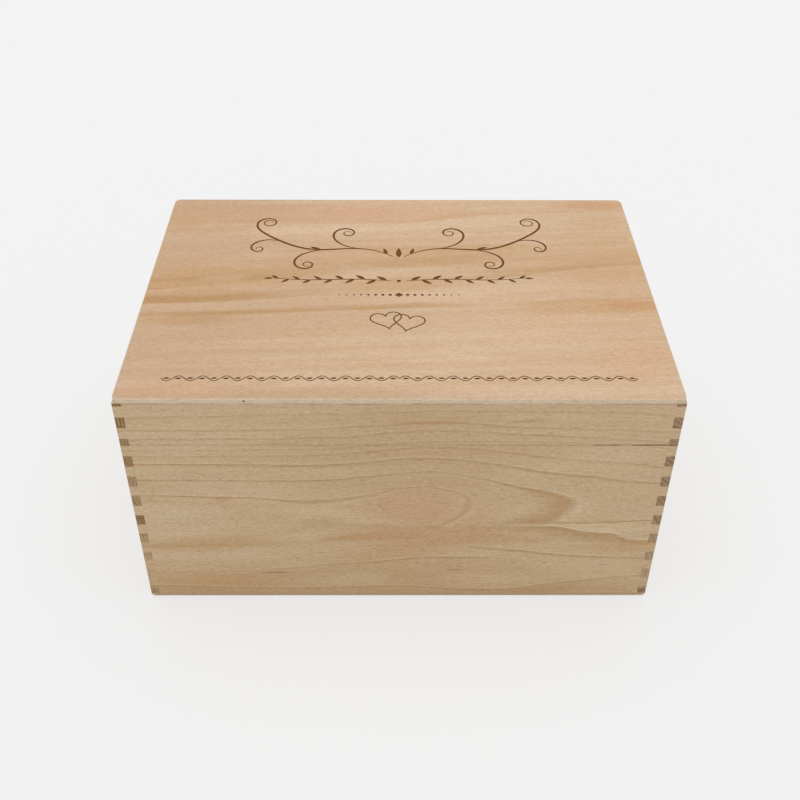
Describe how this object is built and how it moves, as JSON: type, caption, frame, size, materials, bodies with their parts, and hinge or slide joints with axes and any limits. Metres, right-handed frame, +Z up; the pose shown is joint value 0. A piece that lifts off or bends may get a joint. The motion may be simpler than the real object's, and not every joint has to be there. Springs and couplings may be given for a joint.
{
  "type": "memory box",
  "caption": "Rectangular comb-jointed beech box for papers and keepsakes, with a flush panel lid, sawn from the same box, that swings up on butt hinges at the back.",
  "frame": {"origin": "middle of the underside of the bottom panel, where the box stands", "axes": "+Z up, front face towards -Y, +X to the right of a person who faces the front"},
  "size_m": [0.35, 0.2548, 0.18],
  "materials": {
    "beech_panel": "sanded, bare",
    "beech_board": "sanded, bare",
    "hinge_brass": "satin",
    "pin_steel": "satin"
  },
  "bodies": {
    "case": {"front_wall": "beech_board", "back_wall": "beech_board", "left_wall": "beech_board", "right_wall": "beech_board", "bottom_panel": "beech_panel", "left_hinge_case_leaf": "hinge_brass", "left_hinge_pin": "pin_steel", "left_hinge_case_screws": "hinge_brass", "right_hinge_case_leaf": "hinge_brass", "right_hinge_pin": "pin_steel", "right_hinge_case_screws": "hinge_brass"},
    "lid": {"lid_top_panel": "beech_panel", "lid_front_rail": "beech_board", "lid_back_rail": "beech_board", "lid_left_rail": "beech_board", "lid_right_rail": "beech_board", "left_hinge_lid_leaf": "hinge_brass", "left_hinge_lid_screws": "hinge_brass", "right_hinge_lid_leaf": "hinge_brass", "right_hinge_lid_screws": "hinge_brass"}
  },
  "joints": [
    {"name": "lid_hinge", "type": "hinge", "parent": "case", "child": "lid", "pos_m": [0, 0.12755, 0.1429], "axis": [-1, 0, 0], "range_deg": [0, 180]}
  ]
}
